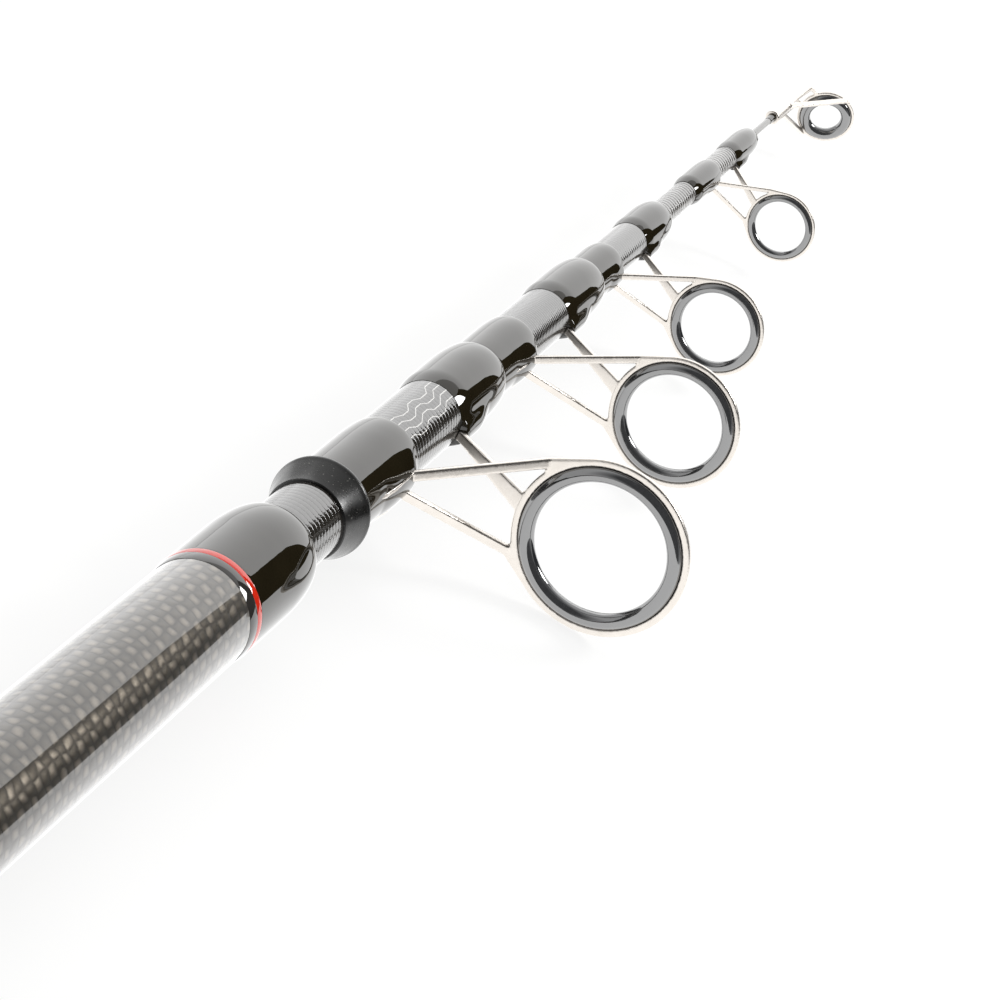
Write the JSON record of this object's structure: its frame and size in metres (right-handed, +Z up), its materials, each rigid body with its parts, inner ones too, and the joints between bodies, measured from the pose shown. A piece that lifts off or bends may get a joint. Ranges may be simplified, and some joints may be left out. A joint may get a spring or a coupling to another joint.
{
  "type": "telescopic fishing rod",
  "caption": "Telescopic carbon fishing rod, collapsed, with raised line guides, a tip eye, foam grips and a screw-down reel seat.",
  "frame": {"origin": "centre of the butt end's flat face, on the rod's axis", "axes": "+X along the rod towards the tip, -Y the way the first line guide and the reel's bed face, +Z up when the rod lies on its side"},
  "size_m": [0.7029, 0.0603, 0.0272],
  "materials": {
    "carbon": "clear-lacquered carbon fibre",
    "lacquer": "glossy black epoxy over thread",
    "red_ring": "gloss orange-red",
    "dark_band": "gloss dark grey",
    "collar": "gloss black",
    "foam": "fine-celled foam",
    "seat": "satin graphite",
    "hood": "satin",
    "check": "bright anodised",
    "nut": "dark anodised, fluted",
    "cap": "dark anodised, fluted",
    "aluminium": "machined",
    "bumper": "matt",
    "pad": "matt",
    "guide_metal": "satin",
    "ceramic": "polished dark grey ceramic"
  },
  "bodies": {
    "butt": {"butt_blank": "carbon", "butt_insert": "aluminium", "butt_winding": "lacquer", "red_ring": "red_ring", "dark_band": "dark_band", "rear_grip": "foam", "fore_grip": "foam", "reel_seat": "seat", "fixed_hood": "hood", "rear_check": "check", "middle_check": "check", "front_check": "check"},
    "cap": {"butt_cap": "cap", "butt_bumper": "bumper"},
    "pad": {"buffer_pad": "pad"},
    "hood": {"sliding_hood": "hood"},
    "nut": {"locking_nut": "nut"},
    "section_2": {"section_2_blank": "carbon", "section_2_collar": "collar", "section_2_rear_winding": "lacquer", "section_2_front_winding": "lacquer", "guide_1_frame": "guide_metal", "guide_1_ring": "ceramic"},
    "section_3": {"section_3_blank": "carbon", "section_3_rear_winding": "lacquer", "section_3_front_winding": "lacquer", "guide_2_frame": "guide_metal", "guide_2_ring": "ceramic"},
    "section_4": {"section_4_blank": "carbon", "section_4_rear_winding": "lacquer", "section_4_front_winding": "lacquer", "guide_3_frame": "guide_metal", "guide_3_ring": "ceramic"},
    "section_5": {"section_5_blank": "carbon", "section_5_rear_winding": "lacquer", "section_5_front_winding": "lacquer", "guide_4_frame": "guide_metal", "guide_4_ring": "ceramic"},
    "tip": {"tip_blank": "carbon", "tip_winding": "lacquer", "tip_top_frame": "guide_metal", "tip_top_ring": "ceramic"}
  },
  "joints": [
    {"name": "section_2_slide", "type": "slide", "parent": "butt", "child": "section_2", "axis": [1, 0, 0], "range_m": [0, 0.355]},
    {"name": "section_3_slide", "type": "slide", "parent": "section_2", "child": "section_3", "axis": [1, 0, 0], "range_m": [0, 0.439]},
    {"name": "section_4_slide", "type": "slide", "parent": "section_3", "child": "section_4", "axis": [1, 0, 0], "range_m": [0, 0.4931]},
    {"name": "section_5_slide", "type": "slide", "parent": "section_4", "child": "section_5", "axis": [1, 0, 0], "range_m": [0, 0.5357]},
    {"name": "tip_slide", "type": "slide", "parent": "section_5", "child": "tip", "axis": [1, 0, 0], "range_m": [0, 0.599]},
    {"name": "hood_slide", "type": "slide", "parent": "butt", "child": "hood", "axis": [1, 0, 0], "range_m": [0, 0.028]},
    {"name": "nut_turn", "type": "hinge", "parent": "hood", "child": "nut", "pos_m": [0.1215, 0, 0], "axis": [1, 0, 0], "range_deg": [0, 5041]},
    {"name": "pad_slide", "type": "slide", "parent": "butt", "child": "pad", "axis": [-1, 0, 0], "range_m": [0, 0.014]},
    {"name": "cap_turn", "type": "hinge", "parent": "pad", "child": "cap", "pos_m": [0.0035, 0, 0], "axis": [1, 0, 0], "range_deg": [0, 3361]}
  ],
  "couplings": [
    {"joint": "nut_turn", "follows": "hood_slide", "rad_per_m": 3141.6},
    {"joint": "cap_turn", "follows": "pad_slide", "rad_per_m": 4188.8}
  ]
}
